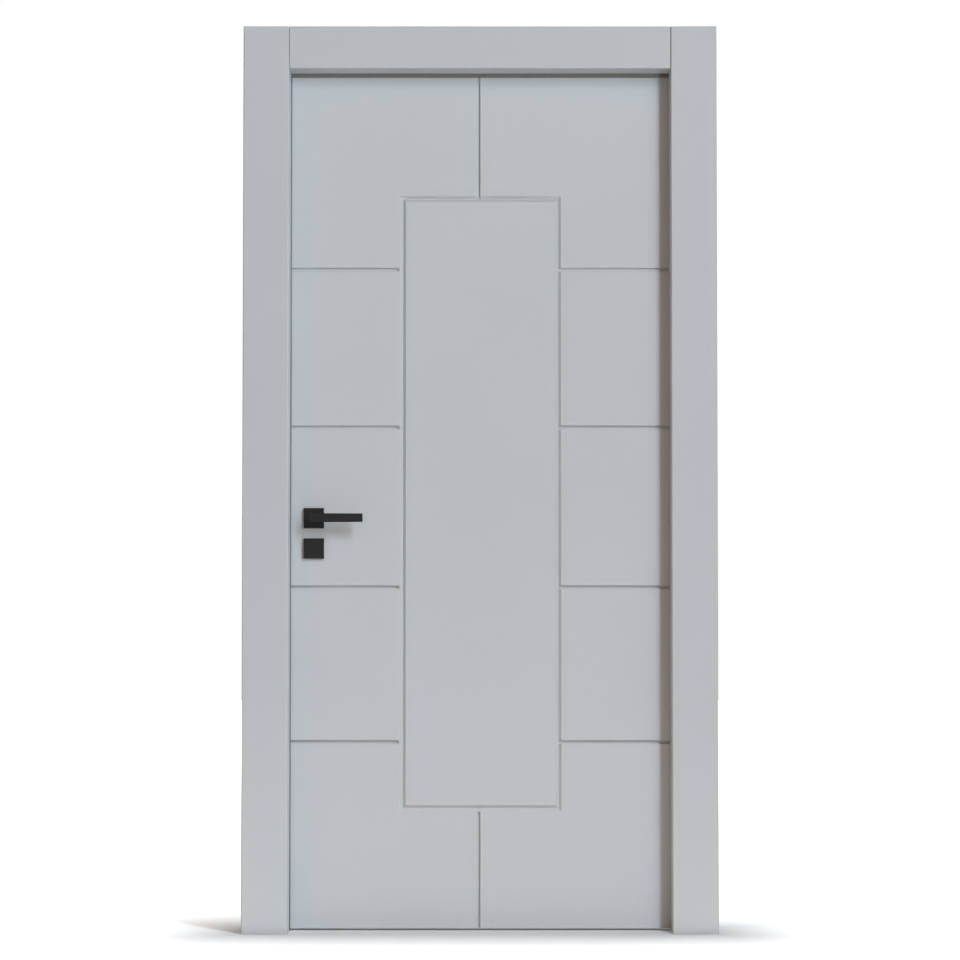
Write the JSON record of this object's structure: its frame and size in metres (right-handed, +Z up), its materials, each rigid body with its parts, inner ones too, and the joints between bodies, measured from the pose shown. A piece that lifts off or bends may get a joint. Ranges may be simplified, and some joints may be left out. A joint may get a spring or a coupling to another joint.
{
  "type": "interior door with frame",
  "caption": "Lacquered flush interior door leaf with routed rectangle and slots, hung in a lined frame with flat casings, butt hinges and a black lever set on square roses.",
  "frame": {"origin": "on the wall face of the hinge jamb, at floor level, half way through the wall", "axes": "+Z up, +X along the wall from the doorway towards the hinge-side wall, +Y through the wall from the front, where the leaf is recessed, to the back, where it opens"},
  "size_m": [1.096, 0.173, 2.0935],
  "materials": {
    "leaf_lacquer": "satin grey lacquer on fibreboard",
    "frame_lacquer": "satin grey lacquer on fibreboard",
    "seal": "matt",
    "black": "matt black powder coat",
    "steel": "zinc plated"
  },
  "bodies": {
    "frame": {"hinge_jamb": "frame_lacquer", "latch_jamb": "frame_lacquer", "head_jamb": "frame_lacquer", "hinge_stop": "frame_lacquer", "latch_stop": "frame_lacquer", "head_stop": "frame_lacquer", "hinge_seal": "seal", "latch_seal": "seal", "head_seal": "seal", "front_casing_hinge_side": "frame_lacquer", "front_casing_latch_side": "frame_lacquer", "front_casing_head": "frame_lacquer", "back_casing_hinge_side": "frame_lacquer", "back_casing_latch_side": "frame_lacquer", "back_casing_head": "frame_lacquer", "strike_plate": "black", "bottom_hinge_jamb_plate": "black", "bottom_hinge_pin": "black", "middle_hinge_jamb_plate": "black", "middle_hinge_pin": "black", "top_hinge_jamb_plate": "black", "top_hinge_pin": "black"},
    "leaf": {"front_skin": "leaf_lacquer", "back_skin": "leaf_lacquer", "hinge_stile": "leaf_lacquer", "latch_stile": "leaf_lacquer", "top_rail": "leaf_lacquer", "bottom_rail": "leaf_lacquer", "lock_case": "steel", "lock_faceplate": "black", "latch_bolt": "steel", "dead_bolt": "steel", "front_rose": "black", "back_rose": "black", "front_escutcheon": "black", "back_escutcheon": "black", "bottom_hinge_leaf_plate": "black", "middle_hinge_leaf_plate": "black", "top_hinge_leaf_plate": "black"},
    "handle": {"front_lever": "black", "back_lever": "black", "spindle": "steel"}
  },
  "joints": [
    {"name": "leaf_swing", "type": "hinge", "parent": "frame", "child": "leaf", "pos_m": [-0.0275, 0.058, 0], "axis": [0, 0, -1], "range_deg": [0, 110]},
    {"name": "lever_turn", "type": "hinge", "parent": "leaf", "child": "handle", "pos_m": [-0.8665, 0.029, 0.955], "axis": [0, 1, 0], "range_deg": [0, 40], "stiffness_Nm_per_rad": 1.5, "springref_deg": -22.92}
  ]
}
